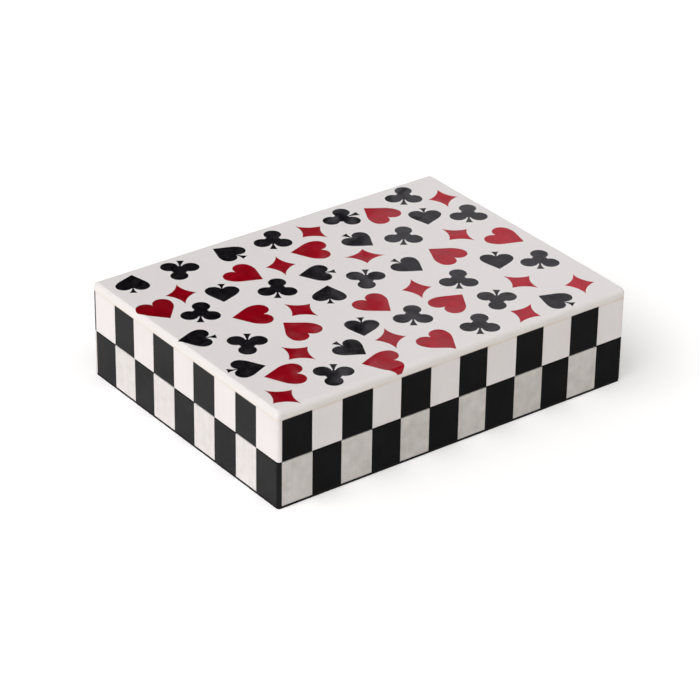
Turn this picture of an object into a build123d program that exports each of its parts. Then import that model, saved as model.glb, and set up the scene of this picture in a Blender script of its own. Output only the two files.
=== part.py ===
from build123d import *

import os
from math import cos, radians, sin, sqrt

# A playing card box: a tray with two deck wells under a lift-off lid.
# Black and ivory resin tiles face its sides, and card suits are inlaid in the lid's top.
# Sizes are in millimetres. X runs along the front, Y to the back and Z up.
# The origin is on the table, under the middle of the box.

# The whole box
box_length = 152.4
box_width = 114.3
base_height = 18.3
lid_height = 19.8
corner_radius = 1.2
edge_radius = 2.0

# Core boards
base_wall = 5.0
tray_floor_thickness = 3.0
lid_panel_thickness = 3.0

# Resin facing
tile_thickness = 1.6
tiles_on_long_side = 12
tiles_on_short_side = 9
tile_joint = 0.08
tile_wander = 0.25
wander_turn = 137.5
seam_gap = 0.3
tile_edge_radius = 0.25
slab_thickness = 3.5
inlay_depth = 2.0

# Locating lip, between the base walls and standing up into the lid
lip_thickness = 2.5
lip_rise = 6.0
lip_clearance = 0.3
lip_edge_radius = 0.8

# Divider between the two wells, with a scoop for fingers
divider_thickness = 4.0
divider_drop = 2.0
divider_edge_radius = 1.2
notch_width = 34.0
notch_depth = 9.0
notch_mouth_radius = 3.0

# Cloth
felt_thickness = 1.0
felt_inset = 0.15
velvet_thickness = 0.8
velvet_clearance = 0.2

# Proportions of the suits: their size over the tile pitch, then shares of that size
suit_to_tile = 1.18
heart_height = 0.954
heart_lobe_radius = 0.244
heart_lobe_spread = 0.237
heart_tip_angle = 42
heart_join_angle = 5
spade_height = 0.920
spade_body_height = 0.785
spade_lobe_radius = 0.213
spade_lobe_spread = 0.207
spade_tip_angle = 43
spade_join_angle = 20
club_lobe_radius = 0.221
club_lobe_reach = 0.302
club_middle_radius = 0.205
club_foot_drop = 0.486
club_lobe_turns = [90, 210, 330]
stem_foot_width = 0.200
stem_neck_width = 0.050
stem_flare = 0.036
diamond_height = 1.014
diamond_width = 0.764
diamond_side_hollow = 0.075

# Places of the suits on the lid: shares of its half length and half width, and a turn in degrees.
# An unturned suit stands upright as seen from the front.
spade_places = [
    (-0.863, 0.824, -30), (-0.316, 0.822, 26), (-0.570, 0.402, 150), (0.270, 0.490, 196),
    (0.691, 0.512, 151), (-0.096, 0.275, 69), (-0.913, 0.009, 68), (-0.174, 0.004, -31),
    (0.305, 0.032, 197), (0.685, -0.241, 149), (-0.886, -0.462, -110), (-0.234, -0.448, 149),
    (-0.401, -0.624, 198), (0.658, -0.866, 28),
]
club_places = [
    (-0.605, 0.810, 145), (-0.067, 0.808, -33), (0.344, 0.808, 86), (0.738, 0.830, -36),
    (0.475, 0.372, -37), (0.881, 0.382, -35), (-0.760, 0.269, -35), (-0.336, 0.253, -34),
    (0.062, 0.039, 146), (-0.754, -0.219, 146), (0.414, -0.302, -36), (0.855, -0.390, -37),
    (0.020, -0.513, -35), (0.437, -0.648, 143), (-0.602, -0.822, 145), (0.221, -0.836, -37),
]
heart_places = [
    (-0.904, 0.438, 0), (-0.377, 0.517, 26), (0.012, 0.553, -113), (0.521, 0.719, 195),
    (-0.585, 0.059, -111), (0.518, 0.018, 198), (0.872, -0.027, 28), (-0.486, -0.247, 193),
    (-0.055, -0.269, 12), (0.248, -0.512, 109), (-0.782, -0.655, -113), (-0.358, -0.860, -112),
    (-0.027, -0.867, 13),
]
diamond_places = [
    (0.137, 0.760, 18), (0.884, 0.656, -22), (-0.735, 0.538, -21), (-0.190, 0.490, -21),
    (0.195, 0.289, 63), (0.700, 0.184, 17), (-0.368, -0.059, 19), (0.196, -0.248, -21),
    (-0.617, -0.491, 19), (0.638, -0.555, 18), (-0.195, -0.663, -20), (-0.902, -0.860, 20),
    (0.458, -0.892, -54), (0.851, -0.786, -22),
]

# Levels, from the table up
box_height = base_height + lid_height
tray_floor_top = felt_thickness + tray_floor_thickness
lip_top = base_height + lip_rise
divider_top = lip_top - divider_drop
slab_bottom = box_height - slab_thickness
lid_panel_bottom = slab_bottom - lid_panel_thickness

# Spans, from the outside in
core_length = box_length - 2 * tile_thickness
core_width = box_width - 2 * tile_thickness
lip_length = core_length - 2 * base_wall
lip_width = core_width - 2 * base_wall
tray_length = lip_length - 2 * lip_thickness
tray_width = lip_width - 2 * lip_thickness
lid_wall = base_wall - lip_clearance
lid_inner_length = core_length - 2 * lid_wall
lid_inner_width = core_width - 2 * lid_wall

# Suit size follows the tiles, so the scatter stays open when the box changes
long_pitch = (box_length - tile_thickness) / tiles_on_long_side
short_pitch = (box_width - tile_thickness) / tiles_on_short_side
suit_size = suit_to_tile * min(long_pitch, short_pitch)

# The four sides in turn, each a quarter turn on from the front
side_names = ["front", "right", "back", "left"]
long_sides = ["front", "back"]
quarter_turn = 90
half_turn = 180

# A rounding takes at most this share of what it rounds
both_edges_share = 0.45
one_edge_share = 0.9
top_edge_radius = min(edge_radius, one_edge_share * slab_thickness)

# Points closer than this are the same point
touching = 1e-4


def plate(length, width, bottom, thickness, center_x=0):
    """A flat rectangular board or sheet."""
    plan = Pos(center_x, 0, bottom) * Rectangle(length, width)
    return extrude(plan, amount=thickness)


def side_run(side, length, width):
    """How long a side is."""
    return length if side in long_sides else width


def side_depth(side, length, width):
    """How far it is from a side to the one across from it."""
    return width if side in long_sides else length


def turned(side, shape):
    """A shape made at the front, carried round to its side."""
    return Rot(0, 0, quarter_turn * side_names.index(side)) * shape


def mitred_board(side, length, width, thickness, bottom, top):
    """One board of a four-board frame, mitred at both ends."""
    outer_end = side_run(side, length, width) / 2
    inner_end = outer_end - thickness
    outer_face = -side_depth(side, length, width) / 2
    inner_face = outer_face + thickness
    plan = Polygon(
        (-outer_end, outer_face), (outer_end, outer_face), (inner_end, inner_face), (-inner_end, inner_face)
    )
    return extrude(Pos(0, 0, bottom) * plan, amount=top - bottom)


def wall_board(side, thickness, bottom, top):
    """A core board behind the tiles."""
    return turned(side, mitred_board(side, core_length, core_width, thickness, bottom, top))


def lip_board(side):
    """A velvet-wrapped lip board, soft along its top edges."""
    board = mitred_board(side, lip_length, lip_width, lip_thickness, tray_floor_top, lip_top)
    top_edges = board.edges().filter_by(Axis.X).group_by(Axis.Z)[-1]
    softened = fillet(top_edges, min(lip_edge_radius, both_edges_share * lip_thickness))
    return turned(side, softened)


def divider():
    """The board between the wells, with a round scoop at the middle of its top."""
    height = divider_top - tray_floor_top
    scoop_radius = (notch_width ** 2 / 4 + notch_depth ** 2) / (2 * notch_depth)
    scoop = Pos(0, height + scoop_radius - notch_depth) * Circle(scoop_radius)
    face = Pos(0, height / 2) * Rectangle(tray_width, height) - scoop
    mouth = [corner for corner in face.vertices() if at_notch_mouth(corner, height)]
    face = fillet(mouth, notch_mouth_radius)
    across = Plane(origin=(0, 0, tray_floor_top), x_dir=(0, 1, 0), z_dir=(1, 0, 0))
    board = extrude(across * face, amount=divider_thickness / 2, both=True)
    rims = [edge for edge in board.edges() if on_divider_rim(edge)]
    return fillet(rims, min(divider_edge_radius, both_edges_share * divider_thickness))


def at_notch_mouth(corner, height):
    """Whether a corner of the divider's face is where the scoop meets its top."""
    at_top = abs(corner.Y - height) < touching
    inside_ends = abs(corner.X) < tray_width / 2 - touching
    return at_top and inside_ends


def on_divider_rim(edge):
    """Whether an edge runs along the top of either face of the divider."""
    middle = edge @ 0.5
    on_face = abs(abs(middle.X) - divider_thickness / 2) < touching
    above_floor = middle.Z > tray_floor_top + touching
    inside_ends = abs(middle.Y) < tray_width / 2 - touching
    return on_face and above_floor and inside_ends


def tile_joints(side, laid, wander_start):
    """Places of the joints along a side; hand cutting moves each a little, but not the two ends."""
    run = side_run(side, box_length, box_width)
    count = tiles_on_long_side if side in long_sides else tiles_on_short_side
    start = -run / 2 + tile_thickness
    pitch = (run - tile_thickness) / count
    joints = [start]
    for number in range(1, count):
        wander = tile_wander * sin(radians(wander_start + wander_turn * (laid + number)))
        joints.append(start + number * pitch + wander)
    return joints + [run / 2]


def tile(side, left, right, bottom, top, soft_levels):
    """One tile. The box's rounded outline trims it, and its free edges are softened."""
    center_y = (tile_thickness - side_depth(side, box_length, box_width)) / 2
    plan = Pos((left + right) / 2, center_y) * Rectangle(right - left, tile_thickness)
    outline = RectangleRounded(box_length, box_width, corner_radius)
    body = extrude(Pos(0, 0, bottom) * (turned(side, plan) & outline), amount=top - bottom)
    rims = [Pos(0, 0, level) * outline.face().outer_wire() for level in soft_levels]
    free_edges = [edge for edge in body.edges() if on_a_rim(edge, rims)]
    return fillet(free_edges, min(tile_edge_radius, both_edges_share * tile_thickness))


def on_a_rim(edge, rims):
    """Whether an edge lies on one of the outlines that are softened."""
    return any(rim.distance_to(edge @ 0.5) < touching for rim in rims)


def tile_row(part_name, bottom, top, soft_levels, colors, wander_start):
    """A checkered row round the box, as a black and an ivory group of tiles on each side.

    A side's first tile butts on the last one of the side before, and its own last tile wraps the corner.
    """
    groups = {}
    laid = 0
    for side in side_names:
        joints = tile_joints(side, laid, wander_start)
        for left, right in zip(joints, joints[1:]):
            group = groups.setdefault(f"{part_name}_{side}_{colors[laid % 2]}_tiles", [])
            end = right if right == joints[-1] else right - tile_joint
            group.append(tile(side, left, end, bottom, top, soft_levels))
            laid += 1
    return groups


def leaf(height, lobe_radius, lobe_spread, tip_angle, join_angle):
    """A heart with its tip down, centred on its height.

    Each lobe is an arc that runs on into a wider one below the join angle, and that ends in a
    straight run to the tip, which leans by the tip angle. The wider arc touches both.
    """
    tip = (0, -height / 2)
    lobe_y = height / 2 - lobe_radius
    cleft = (0, lobe_y + sqrt(lobe_radius ** 2 - lobe_spread ** 2))
    lobe_top = (lobe_spread, lobe_y + lobe_radius)
    lean = radians(tip_angle)
    join_lean = radians(join_angle)
    closeness = cos(lean - join_lean)
    lobe_offset = (lobe_y + height / 2) * sin(lean) - lobe_spread * cos(lean)
    side_radius = (lobe_offset - lobe_radius * closeness) / (1 - closeness)
    side_x = lobe_spread - (side_radius - lobe_radius) * cos(join_lean)
    side_y = lobe_y + (side_radius - lobe_radius) * sin(join_lean)
    join = (lobe_spread + lobe_radius * cos(join_lean), lobe_y - lobe_radius * sin(join_lean))
    run_start = (side_x + side_radius * cos(lean), side_y - side_radius * sin(lean))
    with BuildSketch() as shape:
        with BuildLine():
            ThreePointArc(cleft, lobe_top, join)
            TangentArc(join, run_start, tangent=(-sin(join_lean), -cos(join_lean)))
            Line(run_start, tip)
            mirror(about=Plane.YZ)
        make_face()
    return shape.sketch


def stem(foot_y, neck_y):
    """The flared foot of a spade or club."""
    foot = (suit_size * stem_foot_width / 2, foot_y)
    neck = (suit_size * stem_neck_width / 2, neck_y)
    with BuildSketch() as shape:
        with BuildLine():
            Line((0, foot_y), foot)
            SagittaArc(foot, neck, suit_size * stem_flare)
            Line(neck, (0, neck_y))
            mirror(about=Plane.YZ)
        make_face()
    return shape.sketch


def heart():
    """Two lobes over a tip."""
    height = suit_size * heart_height
    radius = suit_size * heart_lobe_radius
    spread = suit_size * heart_lobe_spread
    return leaf(height, radius, spread, heart_tip_angle, heart_join_angle)


def spade():
    """A heart on its head, with a stem."""
    height = suit_size * spade_height
    body_height = suit_size * spade_body_height
    radius = suit_size * spade_lobe_radius
    spread = suit_size * spade_lobe_spread
    body = leaf(body_height, radius, spread, spade_tip_angle, spade_join_angle)
    upended = Pos(0, (height - body_height) / 2) * Rot(0, 0, half_turn) * body
    lobe_y = height / 2 - body_height + radius
    return upended + stem(-height / 2, lobe_y)


def club():
    """Three round lobes about a middle, with a stem."""
    reach = suit_size * club_lobe_reach
    lobe = Circle(suit_size * club_lobe_radius)
    middle = Circle(suit_size * club_middle_radius)
    turns = [radians(turn) for turn in club_lobe_turns]
    lobes = [Pos(reach * cos(turn), reach * sin(turn)) * lobe for turn in turns]
    return middle + lobes + stem(-suit_size * club_foot_drop, 0)


def diamond():
    """Four points joined by hollow sides."""
    top = (0, suit_size * diamond_height / 2)
    side = (suit_size * diamond_width / 2, 0)
    bottom = (0, -suit_size * diamond_height / 2)
    hollow = suit_size * diamond_side_hollow
    with BuildSketch() as shape:
        with BuildLine():
            SagittaArc(top, side, -hollow)
            SagittaArc(side, bottom, -hollow)
            mirror(about=Plane.YZ)
        make_face()
    return shape.sketch


def suit_cutters(suit, places):
    """Prisms of one suit, from the pocket floors to above the lid."""
    cutters = []
    for share_x, share_y, turn in places:
        center_x = share_x * box_length / 2
        center_y = share_y * box_width / 2
        place = Location((center_x, center_y, box_height - inlay_depth), (0, 0, turn))
        cutters.append(extrude(place * suit, amount=2 * inlay_depth))
    return cutters


def slab_blank():
    """The lid's top before inlaying, with its upper edges and corners rounded, the wider rounding first.

    The long edges take the wider rounding, and the outline of each end the corners' own.
    """
    blank = plate(box_length, box_width, slab_bottom, slab_thickness)
    if corner_radius >= top_edge_radius:
        rounded = fillet(blank.edges().filter_by(Axis.Z), corner_radius)
        return fillet(rounded.edges().group_by(Axis.Z)[-1], top_edge_radius)
    long_edges = blank.edges().filter_by(Axis.X).group_by(Axis.Z)[-1]
    rounded = fillet(long_edges, top_edge_radius)
    end_edges = [edge for edge in rounded.edges() if on_slab_end(edge)]
    return fillet(end_edges, corner_radius)


def on_slab_end(edge):
    """Whether an edge runs up and over an end of the slab."""
    middle = edge @ 0.5
    at_end = abs(abs(middle.X) - box_length / 2) < touching
    above_bottom = middle.Z > slab_bottom + touching
    return at_end and above_bottom


nodes = {}

# Base: felt, floor, walls, lip, divider, linings
felt_corner_radius = corner_radius - felt_inset
felt_plan = RectangleRounded(box_length - 2 * felt_inset, box_width - 2 * felt_inset, felt_corner_radius)
nodes["felt_sheet"] = [extrude(felt_plan, amount=felt_thickness)]
nodes["tray_floor"] = [plate(lip_length, lip_width, felt_thickness, tray_floor_thickness)]
for side in side_names:
    nodes[f"base_wall_{side}"] = [wall_board(side, base_wall, felt_thickness, base_height)]
    nodes[f"lip_{side}"] = [lip_board(side)]
nodes["divider"] = [divider()]
well_length = (tray_length - divider_thickness) / 2
well_center = (well_length + divider_thickness) / 2
lining_length = well_length - 2 * velvet_clearance
lining_width = tray_width - 2 * velvet_clearance
for well, center_x in (("left", -well_center), ("right", well_center)):
    lining = plate(lining_length, lining_width, tray_floor_top, velvet_thickness, center_x)
    nodes[f"{well}_well_lining"] = [lining]

# Lid: walls, panel, lining
for side in side_names:
    nodes[f"lid_wall_{side}"] = [wall_board(side, lid_wall, base_height, slab_bottom)]
nodes["lid_panel"] = [plate(lid_inner_length, lid_inner_width, lid_panel_bottom, lid_panel_thickness)]
lid_lining_length = lid_inner_length - 2 * velvet_clearance
lid_lining_width = lid_inner_width - 2 * velvet_clearance
lid_lining_bottom = lid_panel_bottom - velvet_thickness
nodes["lid_lining"] = [plate(lid_lining_length, lid_lining_width, lid_lining_bottom, velvet_thickness)]

# Lid: slab and inlays, which follow its rounded edges
blank = slab_blank()
slab_cutters = []
suits = [("spade", spade(), spade_places), ("club", club(), club_places)]
suits += [("heart", heart(), heart_places), ("diamond", diamond(), diamond_places)]
for name, suit, places in suits:
    cutters = suit_cutters(suit, places)
    nodes[f"{name}_inlays"] = [blank & cutter for cutter in cutters]
    slab_cutters += cutters
nodes["lid_slab"] = [blank - slab_cutters]

# Tile rows, which part at the seam
half_gap = seam_gap / 2
base_row_top = base_height - half_gap
lid_row_bottom = base_height + half_gap
base_colors = ["ivory", "black"]
lid_colors = ["black", "ivory"]
base_wander_start = 0
lid_wander_start = 60
base_free_levels = [felt_thickness, base_row_top]
lid_free_levels = [lid_row_bottom]
nodes.update(tile_row("base", felt_thickness, base_row_top, base_free_levels, base_colors, base_wander_start))
nodes.update(tile_row("lid", lid_row_bottom, slab_bottom, lid_free_levels, lid_colors, lid_wander_start))

os.makedirs("parts", exist_ok=True)
for node, solids in nodes.items():
    export_step(Compound(label=node, children=solids), os.path.join("parts", f"{node}.step"))
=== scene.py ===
from math import radians

import bmesh
import bpy
from mathutils import Matrix, Vector


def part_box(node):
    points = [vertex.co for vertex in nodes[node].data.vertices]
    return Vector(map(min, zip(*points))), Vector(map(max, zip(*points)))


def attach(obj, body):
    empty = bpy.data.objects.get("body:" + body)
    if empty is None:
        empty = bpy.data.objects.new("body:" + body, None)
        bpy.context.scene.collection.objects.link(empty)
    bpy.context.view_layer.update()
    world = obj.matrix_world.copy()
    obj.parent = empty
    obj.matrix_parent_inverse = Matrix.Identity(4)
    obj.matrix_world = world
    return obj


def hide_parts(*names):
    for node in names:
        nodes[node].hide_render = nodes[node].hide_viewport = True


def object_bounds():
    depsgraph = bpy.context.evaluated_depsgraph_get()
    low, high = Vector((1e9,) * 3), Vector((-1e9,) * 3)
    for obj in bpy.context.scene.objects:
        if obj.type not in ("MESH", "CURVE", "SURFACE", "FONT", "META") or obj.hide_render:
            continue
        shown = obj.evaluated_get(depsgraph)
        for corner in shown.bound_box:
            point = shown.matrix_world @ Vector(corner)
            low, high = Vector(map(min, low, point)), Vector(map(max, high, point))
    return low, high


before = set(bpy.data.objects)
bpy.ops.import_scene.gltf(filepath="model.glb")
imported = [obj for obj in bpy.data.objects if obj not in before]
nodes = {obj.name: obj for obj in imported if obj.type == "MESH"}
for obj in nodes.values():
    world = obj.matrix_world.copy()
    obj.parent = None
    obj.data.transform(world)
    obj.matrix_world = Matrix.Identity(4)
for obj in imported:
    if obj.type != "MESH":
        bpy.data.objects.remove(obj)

# A playing card box: resin tiles and inlaid suits outside, velvet inside, felt underneath.
# Lengths are in metres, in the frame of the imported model.

cad_low, cad_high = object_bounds()
mm = 0.001
same_place = 1e-7
sides = ["front", "right", "back", "left"]
long_sides = ["front", "back"]


def level(node, end):
    """Height of a node's bottom (0) or top (1)."""
    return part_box(node)[end].z


slab_bottom = level("lid_slab", 0)
lid_top = level("lid_slab", 1)
seam_level = (level("base_front_black_tiles", 1) + level("lid_front_black_tiles", 0)) / 2
box_length = cad_high.x - cad_low.x
box_width = cad_high.y - cad_low.y
tile_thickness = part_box("lid_front_ivory_tiles")[1].y - cad_low.y
tiles_on_long_side = 12
tiles_on_short_side = 9


# Shader nodes

def connect(tree, socket, value):
    """Links a socket, or sets its value."""
    if isinstance(value, bpy.types.NodeSocket):
        tree.links.new(value, socket)
    else:
        socket.default_value = value


def add(tree, kind, inputs=None, **settings):
    """A shader node with its settings made and its inputs set or linked."""
    made = tree.nodes.new(kind)
    for name, value in settings.items():
        setattr(made, name, value)
    for name, value in (inputs or {}).items():
        connect(tree, made.inputs[name], value)
    return made


def compute(tree, operation, first, second=0.0, clamp=False):
    """One sum on values."""
    made = add(tree, "ShaderNodeMath", {0: first, 1: second}, operation=operation, use_clamp=clamp)
    return made.outputs[0]


def plus(tree, first, second):
    """Two values added up."""
    return compute(tree, "ADD", first, second)


def minus(tree, first, second):
    """The first value less the second."""
    return compute(tree, "SUBTRACT", first, second)


def times(tree, first, second):
    """One value times another."""
    return compute(tree, "MULTIPLY", first, second)


def rest_of(tree, share):
    """What a share leaves of the whole."""
    return minus(tree, 1.0, share)


def per_metre(tree, size):
    """How many patches of a size go into a metre."""
    return compute(tree, "DIVIDE", 1.0, size)


def compute_vector(tree, operation, first, second=(0, 0, 0), output=0):
    """One sum on vectors."""
    made = add(tree, "ShaderNodeVectorMath", {0: first, 1: second}, operation=operation)
    return made.outputs[output]


def reach_along(tree, direction, way):
    """How far a direction or a place reaches along a way."""
    return compute_vector(tree, "DOT_PRODUCT", direction, way, "Value")


def part_of(tree, place, axis):
    """A place's X, Y or Z."""
    return add(tree, "ShaderNodeSeparateXYZ", {"Vector": place}).outputs[axis]


def spread(tree, value, span, new_span):
    """Maps a value from one span to another, and holds it there."""
    low, high = span
    new_low, new_high = new_span
    inputs = {"Value": value, "From Min": low, "From Max": high, "To Min": new_low, "To Max": new_high}
    return add(tree, "ShaderNodeMapRange", inputs, clamp=True).outputs["Result"]


def smooth(tree, value, low, high):
    """Rises gently from 0 to 1 between two values."""
    inputs = {"Value": value, "From Min": low, "From Max": high}
    return add(tree, "ShaderNodeMapRange", inputs, interpolation_type="SMOOTHSTEP").outputs["Result"]


def mix(tree, share, first, second):
    """Mixes two colours."""
    made = add(tree, "ShaderNodeMix", data_type="RGBA")
    connect(tree, made.inputs[0], share)
    connect(tree, made.inputs[6], first)
    connect(tree, made.inputs[7], second)
    return made.outputs[2]


def clouds(tree, place, scale, detail=3.0):
    """Noise from 0 to 1, with about this many patches to the metre."""
    inputs = {"Vector": place, "Scale": scale, "Detail": detail}
    return add(tree, "ShaderNodeTexNoise", inputs).outputs["Fac"]


def swing(tree, value, amount):
    """Noise about its middle, from minus half to plus half of an amount."""
    return times(tree, minus(tree, value, 0.5), amount)


def streaks(tree, place, turn, ratio, scale):
    """Noise drawn out along one direction."""
    inputs = {"Vector": place, "Rotation": turn, "Scale": ratio}
    drawn = add(tree, "ShaderNodeMapping", inputs).outputs["Vector"]
    return clouds(tree, drawn, scale, 2.0)


def rgb(red, green, blue):
    """A colour from its linear parts."""
    return (red, green, blue, 1.0)


# Effects that several finishes share

full_span = (0.0, 1.0)
unturned = (0, 0, 0)

cloud_span = (0.3, 0.7)
grain_size = 0.35 * mm
streak_pitch = 1.1 * mm
upright_ratio = (1, 1, 0.04)

hairline_pitch = 0.25 * mm
hairline_turns = (radians(25), radians(-50))
hairline_ratio = (0.018, 1, 1)
hairline_span = (0.56, 0.74)
hairline_roughness = 0.06
hairline_depth = 0.02
smudge_size = 20 * mm
smudge_span = (0.35, 0.68)
wave_size = 9 * mm
peel_size = 1.0 * mm
peel_roughness = 1.5

tuft_share = 0.55
patch_share = 0.45
pile_span = (0.35, 0.65)


def effect(name, inputs, outputs):
    """An empty node group with named sockets, and its tree's two ends."""
    group = bpy.data.node_groups.new(name, "ShaderNodeTree")
    for way, sockets in (("INPUT", inputs), ("OUTPUT", outputs)):
        for label, kind in sockets.items():
            group.interface.new_socket(label, in_out=way, socket_type=f"NodeSocket{kind}")
    start = group.nodes.new("NodeGroupInput")
    end = group.nodes.new("NodeGroupOutput")
    return group, start.outputs, end.inputs


def place_effect(tree, group, inputs):
    """Puts a shared effect into a material."""
    made = tree.nodes.new("ShaderNodeGroup")
    made.node_tree = group
    for name, value in inputs.items():
        connect(tree, made.inputs[name], value)
    return made.outputs


def make_cloudy_resin():
    """Cast resin: soft clouds of a paler and a deeper tone, upright streaks and a fine grain."""
    inputs = {
        "Place": "Vector", "Pale": "Color", "Deep": "Color", "Cloud Size": "Float", "Clouds": "Float",
        "Grain": "Float", "Streaks": "Float", "Tone": "Float",
    }
    group, given, result = effect("cloudy_resin", inputs, {"Color": "Color"})
    place = given["Place"]
    broad = clouds(group, place, per_metre(group, given["Cloud Size"]), 4.0)
    share = plus(group, 0.5, swing(group, spread(group, broad, cloud_span, full_span), given["Clouds"]))
    grain = swing(group, clouds(group, place, 1 / grain_size, 2.0), given["Grain"])
    upright = streaks(group, place, unturned, upright_ratio, 1 / streak_pitch)
    for change in (grain, swing(group, upright, given["Streaks"])):
        share = plus(group, share, change)
    share = compute(group, "ADD", share, given["Tone"], clamp=True)
    group.links.new(mix(group, share, given["Deep"], given["Pale"]), result["Color"])
    return group


def make_tile_tone():
    """A tone of its own for each tile: white noise on cells two tiles wide, parted in the other colour."""
    inputs = {"Place": "Vector", "Start": "Vector", "Two Tiles": "Vector"}
    group, given, result = effect("tile_tone", inputs, {"Tone": "Float"})
    moved = compute_vector(group, "SUBTRACT", given["Place"], given["Start"])
    cells = compute_vector(group, "DIVIDE", moved, given["Two Tiles"])
    cells = compute_vector(group, "FLOOR", cells)
    noise = add(group, "ShaderNodeTexWhiteNoise", {"Vector": cells}, noise_dimensions="3D")
    group.links.new(minus(group, noise.outputs["Value"], 0.5), result["Tone"])
    return group


def make_sanded_satin():
    """A hand-sanded satin skin: hairlines in two directions, smudges, a gentle waviness and a fine peel."""
    inputs = {
        "Place": "Vector", "Roughness": "Float", "Hairlines": "Float", "Smudges": "Float", "Peel": "Float",
        "Waves": "Float",
    }
    group, given, result = effect("sanded_satin", inputs, {"Roughness": "Float", "Height": "Float"})
    place = given["Place"]
    lines = 0.0
    for turn in hairline_turns:
        drawn = streaks(group, place, (0, 0, turn), hairline_ratio, 1 / hairline_pitch)
        lines = compute(group, "MAXIMUM", lines, smooth(group, drawn, *hairline_span))
    lines = times(group, lines, given["Hairlines"])
    smudges = smooth(group, clouds(group, place, 1 / smudge_size), *smudge_span)
    waves = times(group, clouds(group, place, 1 / wave_size, 1.0), given["Waves"])
    peel = swing(group, clouds(group, place, 1 / peel_size, 2.0), given["Peel"])

    rough = plus(group, given["Roughness"], times(group, lines, hairline_roughness))
    rough = plus(group, rough, swing(group, smudges, given["Smudges"]))
    rough = plus(group, rough, times(group, peel, peel_roughness))
    height = minus(group, plus(group, waves, peel), times(group, lines, hairline_depth))
    group.links.new(rough, result["Roughness"])
    group.links.new(height, result["Height"])
    return group


def make_cloth_pile():
    """Short pile or felted fibre: fine tufts, and patches that lie another way."""
    inputs = {"Place": "Vector", "Tuft": "Float", "Patch": "Float"}
    group, given, result = effect("cloth_pile", inputs, {"Shade": "Float", "Height": "Float"})
    tufts = clouds(group, given["Place"], per_metre(group, given["Tuft"]), 2.0)
    patches = clouds(group, given["Place"], per_metre(group, given["Patch"]), 2.0)
    shade = plus(group, times(group, tufts, tuft_share), times(group, patches, patch_share))
    group.links.new(spread(group, shade, pile_span, full_span), result["Shade"])
    group.links.new(tufts, result["Height"])
    return group


cloudy_resin = make_cloudy_resin()
tile_tone = make_tile_tone()
sanded_satin = make_sanded_satin()
cloth_pile = make_cloth_pile()


# Looks of the resins, the boards and the cloths

lid_tile_ivory = {
    "pale": rgb(0.800, 0.757, 0.745), "deep": rgb(0.765, 0.720, 0.702), "cloud": 16 * mm, "clouds": 1.0,
    "grain": 0.25, "streaks": 0.9, "roughness": 0.40, "specular": 0.35, "hairlines": 0.5, "smudges": 0.1,
    "peel": 0.02, "waves": 0.0, "tone": 0.5,
}
# Base tile ivory, mottled. The long sides get a darker copy than the short sides: painted shade for the
# dimmer light on the front and back.
shaded_long_side_base_ivory = {
    "pale": rgb(0.665, 0.631, 0.602), "deep": rgb(0.530, 0.500, 0.468), "cloud": 4.0 * mm, "clouds": 0.8,
    "grain": 0.5, "streaks": 0.6, "roughness": 0.42, "specular": 0.35, "hairlines": 0.5, "smudges": 0.1,
    "peel": 0.04, "waves": 0.0, "tone": 0.5,
}
short_side_ivory = dict(shaded_long_side_base_ivory, pale=rgb(0.765, 0.727, 0.705), deep=rgb(0.665, 0.630, 0.602))
tile_black = {
    "pale": rgb(0.0065, 0.0060, 0.0064), "deep": rgb(0.0035, 0.0032, 0.0034), "cloud": 9 * mm, "clouds": 1.0,
    "grain": 0.5, "streaks": 0.4, "roughness": 0.42, "specular": 0.04, "hairlines": 0.6, "smudges": 0.1,
    "peel": 0.04, "waves": 0.0, "tone": 0.8,
}
short_side_black = dict(tile_black, specular=0.11)
slab_ivory = {
    "pale": rgb(0.805, 0.776, 0.772), "deep": rgb(0.785, 0.755, 0.748), "cloud": 22 * mm, "clouds": 0.7,
    "grain": 0.2, "streaks": 0.0, "roughness": 0.30, "specular": 0.26, "hairlines": 0.15, "smudges": 0.03,
    "peel": 0.0, "waves": 0.0,
}
# Suits: painted_sheen slopes their colour paler toward the lid's right and front, a painted sheen standing in
# for the lamp's reflection there.
spade_black = {
    "pale": rgb(0.0150, 0.0135, 0.0168), "deep": rgb(0.0016, 0.0013, 0.0020), "cloud": 1.8 * mm,
    "clouds": 1.4, "grain": 1.8, "streaks": 0.0, "roughness": 0.21, "specular": 0.24, "hairlines": 0.5,
    "smudges": 0.12, "peel": 0.05, "waves": 12.0, "painted_sheen": (0.1, 0.0),
}
club_black = dict(spade_black, specular=0.42)
heart_red = {
    "pale": rgb(0.480, 0.003, 0.018), "deep": rgb(0.190, 0.0003, 0.004), "cloud": 4.5 * mm, "clouds": 0.32,
    "grain": 0.7, "streaks": 0.0, "roughness": 0.21, "specular": 0.33, "hairlines": 0.2, "smudges": 0.12,
    "peel": 0.02, "waves": 12.0, "painted_sheen": (0.35, -0.12),
}
diamond_red = dict(heart_red, specular=0.28)
resin_relief = 0.05 * mm

glue_color = rgb(0.68, 0.56, 0.41)
glue_spread = 1.0 * mm
glue_patch = 6 * mm
glue_span = (0.35, 0.65)
least_glue = 0.35
most_glue = 0.95
long_side_glue = 1.0
short_side_glue = 0.3
slab_glue = 0.45

# The slab's rounding and side: a creamier tone that is also darker, partly the resin's colour and partly
# painted shade that tones down the rounding's highlight.
rim_tint_and_shade = rgb(0.790, 0.750, 0.715)
rim_depth = 2.0 * mm
rim_share = 0.8
# Painted shade: a greyer tone on the rounding at the slab's two ends, toning down its highlight there.
end_rim_painted_shade = rgb(0.600, 0.572, 0.548)
end_rim_start = 0.36 * mm
end_rim_middle = 0.6 * mm
end_rim_depth = 1.2 * mm
end_rim_shade_share = 0.45

lacquer_black = rgb(0.014, 0.013, 0.013)
pore_black = rgb(0.005, 0.005, 0.005)
board_grain_pitch = 0.8 * mm
board_grain_ratio = (0.027, 1, 1)
board_grain_span = (0.3, 0.7)
pore_span = (0.52, 0.72)
pore_depth = 0.04 * mm
lacquer_roughness = (0.28, 0.45)

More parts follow.
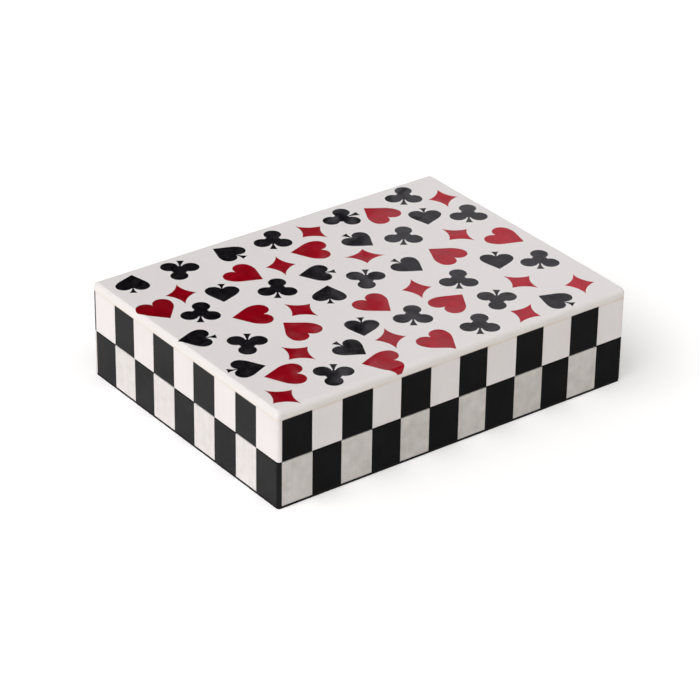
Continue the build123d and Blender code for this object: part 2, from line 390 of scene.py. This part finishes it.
velvet_look = {
    "dark": rgb(0.075, 0.002, 0.006), "light": rgb(0.22, 0.008, 0.018), "tuft": 0.22 * mm, "patch": 14 * mm,
    "sheen": 0.7, "relief": 0.12 * mm,
}
felt_look = {
    "dark": rgb(0.003, 0.003, 0.003), "light": rgb(0.012, 0.011, 0.011), "tuft": 0.3 * mm, "patch": 6 * mm,
    "sheen": 0.1, "relief": 0.15 * mm,
}
cloth_roughness = 0.92
cloth_specular = 0.15
cloth_sheen_roughness = 0.4


# Finishes

def new_material(name):
    """A material with a plain shader, and where its surface is."""
    made = bpy.data.materials.new(name)
    made.use_nodes = True
    tree = made.node_tree
    shader = tree.nodes["Principled BSDF"]
    place = add(tree, "ShaderNodeTexCoord").outputs["Object"]
    return made, tree, shader, place


def set_bump(tree, shader, height, distance):
    """Raises the surface by a height."""
    bump = add(tree, "ShaderNodeBump", {"Height": height, "Distance": distance})
    tree.links.new(bump.outputs["Normal"], shader.inputs["Normal"])


def stain_with_glue(tree, place, color, strength):
    """A soft tan line along the joint between the tiles and the slab, where glue shows."""
    away = compute(tree, "ABSOLUTE", minus(tree, slab_bottom, part_of(tree, place, "Z")))
    line = rest_of(tree, smooth(tree, away, 0.0, glue_spread))
    patches = clouds(tree, place, 1 / glue_patch)
    uneven = spread(tree, patches, glue_span, (least_glue * strength, most_glue * strength))
    return mix(tree, times(tree, line, uneven), color, glue_color)


def depth_below_top(tree, place):
    """How far a place lies below the top of the lid."""
    return minus(tree, lid_top, part_of(tree, place, "Z"))


def tint_and_shade_rim(tree, place, color):
    """A creamier, darker tone from where the slab rounds over: partly the resin's colour, partly painted
    shade.
    """
    share = smooth(tree, depth_below_top(tree, place), 0.0, rim_depth)
    return mix(tree, times(tree, share, rim_share), color, rim_tint_and_shade)


def paint_shade_on_end_rims(tree, place, color):
    """Painted shade: a greyer tone on the rounding at the slab's two ends."""
    from_end = minus(tree, box_length / 2, compute(tree, "ABSOLUTE", part_of(tree, place, "X")))
    at_end = rest_of(tree, smooth(tree, from_end, end_rim_middle, end_rim_depth))
    depth = depth_below_top(tree, place)
    started = smooth(tree, depth, 0.0, end_rim_start)
    not_ended = rest_of(tree, smooth(tree, depth, end_rim_middle, end_rim_depth))
    share = times(tree, times(tree, started, not_ended), at_end)
    return mix(tree, times(tree, share, end_rim_shade_share), color, end_rim_painted_shade)


def finish_resin(name, look, cells=None, glue=0.0, rimmed=False):
    """Resin with its clouds and satin skin, a tone for each tile, a painted sheen slope, tinted rims with
    painted shade, and glue where it shows.
    """
    made, tree, shader, place = new_material(name)
    tone = 0.0
    if cells is not None:
        start, two_tiles = cells
        tone = place_effect(tree, tile_tone, {"Place": place, "Start": start, "Two Tiles": two_tiles})["Tone"]
        tone = times(tree, tone, look["tone"])
    # Painted sheen: the colour grows paler along a slope across the lid, standing in for the lamp's
    # reflection.
    if "painted_sheen" in look:
        along, across = look["painted_sheen"]
        tone = reach_along(tree, place, (2 * along / box_length, 2 * across / box_width, 0))
    color = place_effect(tree, cloudy_resin, {
        "Place": place, "Pale": look["pale"], "Deep": look["deep"], "Cloud Size": look["cloud"],
        "Clouds": look["clouds"], "Grain": look["grain"], "Streaks": look["streaks"], "Tone": tone,
    })["Color"]
    skin = place_effect(tree, sanded_satin, {
        "Place": place, "Roughness": look["roughness"], "Hairlines": look["hairlines"],
        "Smudges": look["smudges"], "Peel": look["peel"], "Waves": look["waves"],
    })
    # Painted shade on the rims: creamier and darker where the slab rounds over, greyer at its two ends.
    if rimmed:
        color = paint_shade_on_end_rims(tree, place, tint_and_shade_rim(tree, place, color))
    if glue > 0:
        color = stain_with_glue(tree, place, color, glue)
    tree.links.new(color, shader.inputs["Base Color"])
    tree.links.new(skin["Roughness"], shader.inputs["Roughness"])
    shader.inputs["Specular IOR Level"].default_value = look["specular"]
    set_bump(tree, shader, skin["Height"], resin_relief)
    return made


def dress(node, finish):
    """Gives a CAD node a finish."""
    skins = nodes[node].data.materials
    skins.clear()
    skins.append(finish)


def tile_cells(part, side, color):
    """Where a row's two-tile cells start, and how wide they are; they part in the other colour's tiles."""
    along = 0 if side in long_sides else 1
    run = box_length if side in long_sides else box_width
    count = tiles_on_long_side if side in long_sides else tiles_on_short_side
    pitch = (run - tile_thickness) / count
    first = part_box(f"{part}_{side}_{color}_tiles")[0][along]
    wider_than_box = 10.0
    start = [-wider_than_box / 2] * 3
    widths = [wider_than_box] * 3
    start[along] = first - pitch / 2
    widths[along] = 2 * pitch
    return start, widths


def finish_tiles():
    """Gives every group of tiles its resin."""
    for part in ("lid", "base"):
        for side in sides:
            black = tile_black if side in long_sides else short_side_black
            # The base's long sides take the darker ivory: painted shade.
            ivory = shaded_long_side_base_ivory if side in long_sides else short_side_ivory
            if part == "lid":
                ivory = lid_tile_ivory
            for color, look in (("ivory", ivory), ("black", black)):
                node = f"{part}_{side}_{color}_tiles"
                glue = 0.0
                if part == "lid" and color == "ivory":
                    glue = long_side_glue if side in long_sides else short_side_glue
                dress(node, finish_resin(f"{node}_resin", look, tile_cells(part, side, color), glue))


def finish_lid_top():
    """Gives the slab and its inlays their resin."""
    dress("lid_slab", finish_resin("slab_resin", slab_ivory, glue=slab_glue, rimmed=True))
    suit_looks = {"spade": spade_black, "club": club_black, "heart": heart_red, "diamond": diamond_red}
    for suit, look in suit_looks.items():
        dress(f"{suit}_inlays", finish_resin(f"{suit}_resin", look))


def finish_boards():
    """Gives the core boards a black lacquer, through which their grain shows."""
    made, tree, shader, place = new_material("black_lacquer")
    grain = streaks(tree, place, unturned, board_grain_ratio, 1 / board_grain_pitch)
    pores = smooth(tree, grain, *pore_span)
    tree.links.new(mix(tree, pores, lacquer_black, pore_black), shader.inputs["Base Color"])
    tree.links.new(spread(tree, grain, board_grain_span, lacquer_roughness), shader.inputs["Roughness"])
    set_bump(tree, shader, times(tree, pores, -1.0), pore_depth)
    boards = ["tray_floor", "lid_panel"]
    boards += [f"{part}_wall_{side}" for part in ("base", "lid") for side in sides]
    for node in boards:
        dress(node, made)


def finish_cloth(name, look):
    """Velvet or felt."""
    made, tree, shader, place = new_material(name)
    pile = place_effect(tree, cloth_pile, {"Place": place, "Tuft": look["tuft"], "Patch": look["patch"]})
    tree.links.new(mix(tree, pile["Shade"], look["dark"], look["light"]), shader.inputs["Base Color"])
    shader.inputs["Roughness"].default_value = cloth_roughness
    shader.inputs["Specular IOR Level"].default_value = cloth_specular
    shader.inputs["Sheen Weight"].default_value = look["sheen"]
    shader.inputs["Sheen Roughness"].default_value = cloth_sheen_roughness
    shader.inputs["Sheen Tint"].default_value = look["light"]
    set_bump(tree, shader, pile["Height"], look["relief"])
    return made


finish_tiles()
finish_lid_top()
finish_boards()
velvet = finish_cloth("red_velvet", velvet_look)
felt = finish_cloth("black_felt", felt_look)


# Cloth and velvet-wrapped boards, modelled by hand

crease_angle = radians(40)
felt_corner = 1.05 * mm
felt_edge = 0.2 * mm
lining_corner = 1.2 * mm
lining_edge = 0.35 * mm
cloth_step = 7 * mm
lip_top_radius = 1.0 * mm
lip_step_along = 2.5 * mm
lip_step_up = 4 * mm
scoop_width = 34 * mm
scoop_depth = 9 * mm
divider_step = 1.5 * mm
divider_rounding = 0.38


def start_block(name, low, high):
    """A block between two corners, alone selected and in edit mode."""
    bpy.ops.object.select_all(action="DESELECT")
    middle = (low + high) / 2
    bpy.ops.mesh.primitive_cube_add(size=1, location=middle, scale=high - low)
    block = bpy.context.object
    block.name = name
    block.data.name = name
    bpy.ops.object.transform_apply(location=True, rotation=True, scale=True)
    bpy.ops.object.mode_set(mode="EDIT")
    return block


def choose(block, edge_test):
    """Selects the edges that pass a test on their two ends."""
    shape = bmesh.from_edit_mesh(block.data)
    for part in (shape.verts, shape.edges, shape.faces):
        for item in part:
            item.select = False
    for edge in shape.edges:
        if edge_test(edge.verts[0].co, edge.verts[1].co):
            edge.select_set(True)
    bmesh.update_edit_mesh(block.data)


def both_at(height, a, b):
    """Whether both ends of an edge are at a height."""
    return abs(a.z - height) < same_place and abs(b.z - height) < same_place


def cut_across(block, axis, first, last, step):
    """Cuts a block square to an axis, in even steps."""
    count = max(1, round((last - first) / step))
    normal = Vector((0, 0, 0))
    normal[axis] = 1
    for number in range(1, count):
        point = Vector((0, 0, 0))
        point[axis] = first + (last - first) * number / count
        bpy.ops.mesh.select_all(action="SELECT")
        bpy.ops.mesh.bisect(plane_co=point, plane_no=normal)


def finish_block(block, body, node, material):
    """Ends modelling: normals out, smooth, riding its body in place of its CAD node."""
    bpy.ops.mesh.select_all(action="SELECT")
    bpy.ops.mesh.normals_make_consistent(inside=False)
    bpy.ops.object.mode_set(mode="OBJECT")
    bpy.ops.object.shade_smooth_by_angle(angle=crease_angle)
    block.data.materials.append(material)
    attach(block, body)
    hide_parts(node)


def lay_cloth(node, body, material, corner_radius, edge_radius, upside_down=False):
    """A cut sheet of velvet or felt, with round corners and a soft edge."""
    low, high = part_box(node)
    sheet = start_block(node + "_cloth", low, high)
    choose(sheet, lambda a, b: abs(a.z - b.z) > same_place)
    bpy.ops.mesh.bevel(offset=corner_radius, segments=5)
    free = low.z if upside_down else high.z
    choose(sheet, lambda a, b: both_at(free, a, b))
    bpy.ops.mesh.bevel(offset=edge_radius, segments=3)
    for axis in (0, 1):
        cut_across(sheet, axis, low[axis], high[axis], cloth_step)
    finish_block(sheet, body, node, material)


def wrap_lip(side):
    """A lip board wrapped in velvet, with mitred ends and a round top."""
    node = f"lip_{side}"
    low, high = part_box(node)
    along = 0 if side in long_sides else 1
    across = 1 - along
    thickness = high[across] - low[across]
    inner = high[across] if side in ("front", "left") else low[across]
    lip = start_block(node + "_velvet", low, high)
    shape = bmesh.from_edit_mesh(lip.data)
    for vertex in shape.verts:
        if abs(vertex.co[across] - inner) < same_place:
            vertex.co[along] -= thickness if vertex.co[along] > 0 else -thickness
    bmesh.update_edit_mesh(lip.data)

    def on_top_edge(a, b):
        return both_at(high.z, a, b) and abs(a[across] - b[across]) < same_place

    choose(lip, on_top_edge)
    bpy.ops.mesh.bevel(offset=lip_top_radius, segments=4)
    cut_across(lip, along, low[along] + thickness, high[along] - thickness, lip_step_along)
    cut_across(lip, 2, low.z, high.z - lip_top_radius, lip_step_up)
    finish_block(lip, "base", node, velvet)


def scoop_drop(y):
    """How far the divider's top drops for the finger scoop, an arc, at a place along it."""
    radius = (scoop_width ** 2 / 4 + scoop_depth ** 2) / (2 * scoop_depth)
    if abs(y) >= radius:
        return 0.0
    return max(0.0, scoop_depth - radius + (radius ** 2 - y ** 2) ** 0.5)


def wrap_divider():
    """The divider wrapped in velvet, with its finger scoop."""
    low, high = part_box("divider")
    board = start_block("divider_velvet", low, high)
    cut_across(board, 1, low.y, high.y, divider_step)
    shape = bmesh.from_edit_mesh(board.data)
    for vertex in shape.verts:
        if abs(vertex.co.z - high.z) < same_place:
            vertex.co.z = high.z - scoop_drop(vertex.co.y)
    bmesh.update_edit_mesh(board.data)

    def on_rim(a, b):
        same_face = abs(a.x - b.x) < same_place
        above = min(a.z, b.z) > low.z + same_place
        return same_face and above and abs(a.y - b.y) > same_place

    choose(board, on_rim)
    bpy.ops.mesh.bevel(offset=divider_rounding * (high.x - low.x), segments=5)
    finish_block(board, "base", "divider", velvet)


lay_cloth("felt_sheet", "base", felt, felt_corner, felt_edge, upside_down=True)
for well in ("left", "right"):
    lay_cloth(f"{well}_well_lining", "base", velvet, lining_corner, lining_edge)
lay_cloth("lid_lining", "lid", velvet, lining_corner, lining_edge, upside_down=True)
for side in sides:
    wrap_lip(side)
wrap_divider()


# Studio

floor_radius = 2.5
floor_corners = 96
flat_margin = 0.2
turn_up = ((1.1, 0.03), (1.08, 0.08), (1.05, 0.15), (1.02, 0.2))
floor_gray = 0.78
seen_floor_gray = 0.97
floor_lift = 0.18
far_lift = 0.08
fade_start = 0.095
fade_end = 0.150

tent_level = 0.33
tent_color = rgb(1.0, 0.985, 0.955)
left_way = Vector((-1.0, 0.25, 0.2)).normalized()
left_span = (-0.1, 1.0)
left_gain = 1.95
left_color = rgb(1.0, 0.985, 1.0)
ceiling_way = Vector((0.25, 0.1, 0.95)).normalized()
ceiling_span = (0.4, 1.0)
ceiling_gain = 1.2
flag_way = Vector((0.53, 0.69, 0.49)).normalized()
flag_span = (0.25, 0.75)

sheen_place = Vector((0.505, 0.41, 0.38))
sheen_aim = Vector((0.04, -0.02, lid_top))
sheen_size = 0.32
sheen_power = 0.215
sheen_color = (0.97, 0.94, 1.0)

camera_place = Vector((-0.58450, -0.77013, 0.55157))
camera_aim = Vector((-0.00991, -0.00823, seam_level))
camera_tilt = radians(0.861)
camera_lens = 157.58
camera_sensor = 36


def on_floor_rim(point, rim_level):
    """Whether a point of the floor is on the outline that was raised last."""
    outside = point.xy.length > floor_radius - flat_margin / 2
    return outside and abs(point.z - rim_level) < same_place


def make_pale_floor():
    """A pale floor paint. What is seen of it is lifted to white, more so away from the box."""
    made = bpy.data.materials.new("pale_floor")
    made.use_nodes = True
    tree = made.node_tree
    tree.nodes.remove(tree.nodes["Principled BSDF"])
    paint, seen_paint = (
        add(tree, "ShaderNodeBsdfDiffuse", {"Color": rgb(gray, gray, gray)}).outputs[0]
        for gray in (floor_gray, seen_floor_gray)
    )
    place = add(tree, "ShaderNodeTexCoord").outputs["Object"]
    away = compute_vector(tree, "LENGTH", place, output="Value")
    strength = plus(tree, times(tree, smooth(tree, away, fade_start, fade_end), far_lift), floor_lift)
    lift = add(tree, "ShaderNodeEmission", {"Color": rgb(1, 1, 1), "Strength": strength}).outputs[0]
    ray = add(tree, "ShaderNodeLightPath").outputs
    seen = compute(tree, "MAXIMUM", ray["Is Camera Ray"], ray["Is Glossy Ray"])
    seen = compute(tree, "MAXIMUM", seen, ray["Is Transmission Ray"])
    lifted = add(tree, "ShaderNodeAddShader", {0: seen_paint, 1: lift}).outputs[0]
    mixed = add(tree, "ShaderNodeMixShader", {0: seen, 1: paint, 2: lifted}).outputs[0]
    tree.links.new(mixed, tree.nodes["Material Output"].inputs["Surface"])
    return made


def build_floor():
    """A wide round floor that turns up far out."""
    bpy.ops.object.select_all(action="DESELECT")
    bpy.ops.mesh.primitive_circle_add(
        vertices=floor_corners, radius=floor_radius, fill_type="NGON", location=(0, 0, 0)
    )
    floor = bpy.context.object
    floor.name = "floor"
    bpy.ops.object.mode_set(mode="EDIT")
    bpy.ops.mesh.inset(thickness=flat_margin)
    rim_level = 0.0
    for grow, rise in turn_up:
        choose(floor, lambda a, b: on_floor_rim(a, rim_level) and on_floor_rim(b, rim_level))
        bpy.ops.mesh.extrude_edges_move(TRANSFORM_OT_translate={"value": (0, 0, rise)})
        bpy.ops.transform.resize(value=(grow, grow, 1), center_override=(0, 0, 0))
        rim_level = max(vertex.co.z for vertex in bmesh.from_edit_mesh(floor.data).verts)
    bpy.ops.object.mode_set(mode="OBJECT")
    bpy.ops.object.shade_smooth()
    floor.data.materials.append(make_pale_floor())


def add_sheen_lamp():
    """A small soft lamp that the lid's top mirrors, and that the camera doesn't see."""
    made = bpy.data.lights.new("sheen", "AREA")
    made.shape = "SQUARE"
    made.size = sheen_size
    made.energy = sheen_power
    made.color = sheen_color
    lamp = bpy.data.objects.new("sheen", made)
    bpy.context.scene.collection.objects.link(lamp)
    lamp.location = sheen_place
    lamp.rotation_euler = (sheen_place - sheen_aim).to_track_quat("Z", "Y").to_euler()
    lamp.visible_camera = False


def build_tent():
    """A light tent with a bright left side and ceiling, and dark where the lid's top mirrors it."""
    world = bpy.data.worlds.new("tent")
    bpy.context.scene.world = world
    world.use_nodes = True
    tree = world.node_tree
    direction = add(tree, "ShaderNodeTexCoord").outputs["Generated"]
    left = smooth(tree, reach_along(tree, direction, left_way), *left_span)
    ceiling = smooth(tree, reach_along(tree, direction, ceiling_way), *ceiling_span)
    flag = smooth(tree, reach_along(tree, direction, flag_way), *flag_span)
    strength = plus(tree, tent_level, times(tree, left, left_gain))
    strength = plus(tree, strength, times(tree, ceiling, ceiling_gain))
    strength = times(tree, strength, rest_of(tree, flag))
    background = tree.nodes["Background"]
    tree.links.new(mix(tree, left, tent_color, left_color), background.inputs["Color"])
    tree.links.new(strength, background.inputs["Strength"])


def build_camera():
    """The photograph's view: a long lens from the front left, a little tilted."""
    lens = bpy.data.cameras.new("camera")
    lens.lens = camera_lens
    lens.sensor_width = camera_sensor
    camera = bpy.data.objects.new("camera", lens)
    bpy.context.scene.collection.objects.link(camera)
    facing = (camera_aim - camera_place).to_track_quat("-Z", "Y").to_matrix()
    turned = (facing @ Matrix.Rotation(camera_tilt, 3, "Z")).to_4x4()
    camera.matrix_world = Matrix.Translation(camera_place) @ turned
    bpy.context.scene.camera = camera


build_floor()
add_sheen_lamp()
build_tent()
build_camera()
bpy.context.scene.view_settings.view_transform = "Standard"
